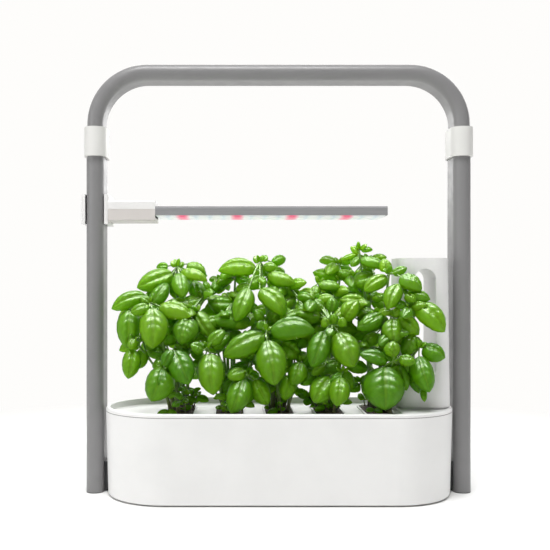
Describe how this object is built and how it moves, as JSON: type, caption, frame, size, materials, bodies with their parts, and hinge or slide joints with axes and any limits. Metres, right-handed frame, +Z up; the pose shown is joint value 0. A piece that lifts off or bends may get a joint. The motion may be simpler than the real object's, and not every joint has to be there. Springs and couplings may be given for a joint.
{
  "type": "countertop hydroponic garden",
  "caption": "Long round-ended white tub with a row of basil pods, a grey tube arch, a slim grow lamp clamped to one leg, and a white watering jug on its deck.",
  "frame": {"origin": "under the middle of the tub, on the surface that the garden stands on", "axes": "+X to the viewer's right along the tub, +Y away from the viewer, +Z up"},
  "size_m": [0.4699, 0.1514, 0.5125],
  "materials": {
    "white_shell": "satin moulded white",
    "cup_white": "satin white",
    "grow_medium": "damp, crumbly dark brown",
    "basil": "glossy puckered green leaves",
    "frame_grey": "satin powder coat, mid grey",
    "collar_white": "satin white",
    "dark_rubber": "matt",
    "black_plastic": "fine matt grain",
    "steel": "plain",
    "clamp_white": "satin white",
    "bar_grey": "anodised mid grey",
    "milky_plastic": "translucent, frosted",
    "led_light": "small bright chips",
    "circuit_board": "lacquered board",
    "jug_white": "satin white",
    "pipe_grey": "plain light grey",
    "socket_black": "plain"
  },
  "bodies": {
    "base": {"basil_plant_1": "basil", "basil_plant_2": "basil", "basil_plant_3": "basil", "basil_plant_4": "basil", "basil_plant_5": "basil", "collar_screws": "steel", "control_board": "circuit_board", "control_box": "pipe_grey", "control_box_lid": "pipe_grey", "deck": "white_shell", "feed_channel": "pipe_grey", "frame_bolts": "steel", "grow_plug_1": "grow_medium", "grow_plug_2": "grow_medium", "grow_plug_3": "grow_medium", "grow_plug_4": "grow_medium", "grow_plug_5": "grow_medium", "impeller_shaft": "steel", "left_bracket": "black_plastic", "left_collar": "collar_white", "left_leg": "frame_grey", "left_leg_cap": "dark_rubber", "pod_cup_1": "cup_white", "pod_cup_2": "cup_white", "pod_cup_3": "cup_white", "pod_cup_4": "cup_white", "pod_cup_5": "cup_white", "power_inlet": "socket_black", "pump_cover": "black_plastic", "pump_housing": "black_plastic", "right_bracket": "black_plastic", "right_collar": "collar_white", "right_leg": "frame_grey", "right_leg_cap": "dark_rubber", "riser_pipe": "pipe_grey", "rubber_feet": "dark_rubber", "tub_shell": "white_shell"},
    "arch": {"arch_tube": "frame_grey", "left_arch_end": "frame_grey", "right_arch_end": "frame_grey", "arch_glides": "black_plastic"},
    "lamp": {"clamp_outer_jaw": "clamp_white", "clamp_inner_jaw": "clamp_white", "clamp_pads": "dark_rubber", "clamp_screws": "steel", "arm_upper_shell": "clamp_white", "arm_lower_shell": "clamp_white", "driver_board": "circuit_board", "lamp_housing": "bar_grey", "led_board": "circuit_board", "led_chips": "led_light", "lamp_diffuser": "milky_plastic", "lamp_end_cap": "bar_grey"},
    "jug": {"watering_jug": "jug_white"},
    "pump_rotor": {"pump_impeller": "black_plastic"}
  },
  "joints": [
    {"name": "arch_height", "type": "slide", "parent": "base", "child": "arch", "axis": [0, 0, 1], "range_m": [0, 0.1]},
    {"name": "lamp_height", "type": "slide", "parent": "base", "child": "lamp", "axis": [0, 0, 1], "range_m": [-0.025, 0.044]},
    {"name": "jug_lift", "type": "slide", "parent": "base", "child": "jug", "axis": [0, 0, 1], "range_m": [0, 0.15]},
    {"name": "impeller_spin", "type": "hinge", "parent": "base", "child": "pump_rotor", "pos_m": [0.16, 0, 0.0123], "axis": [0, 0, 1], "continuous": true}
  ]
}
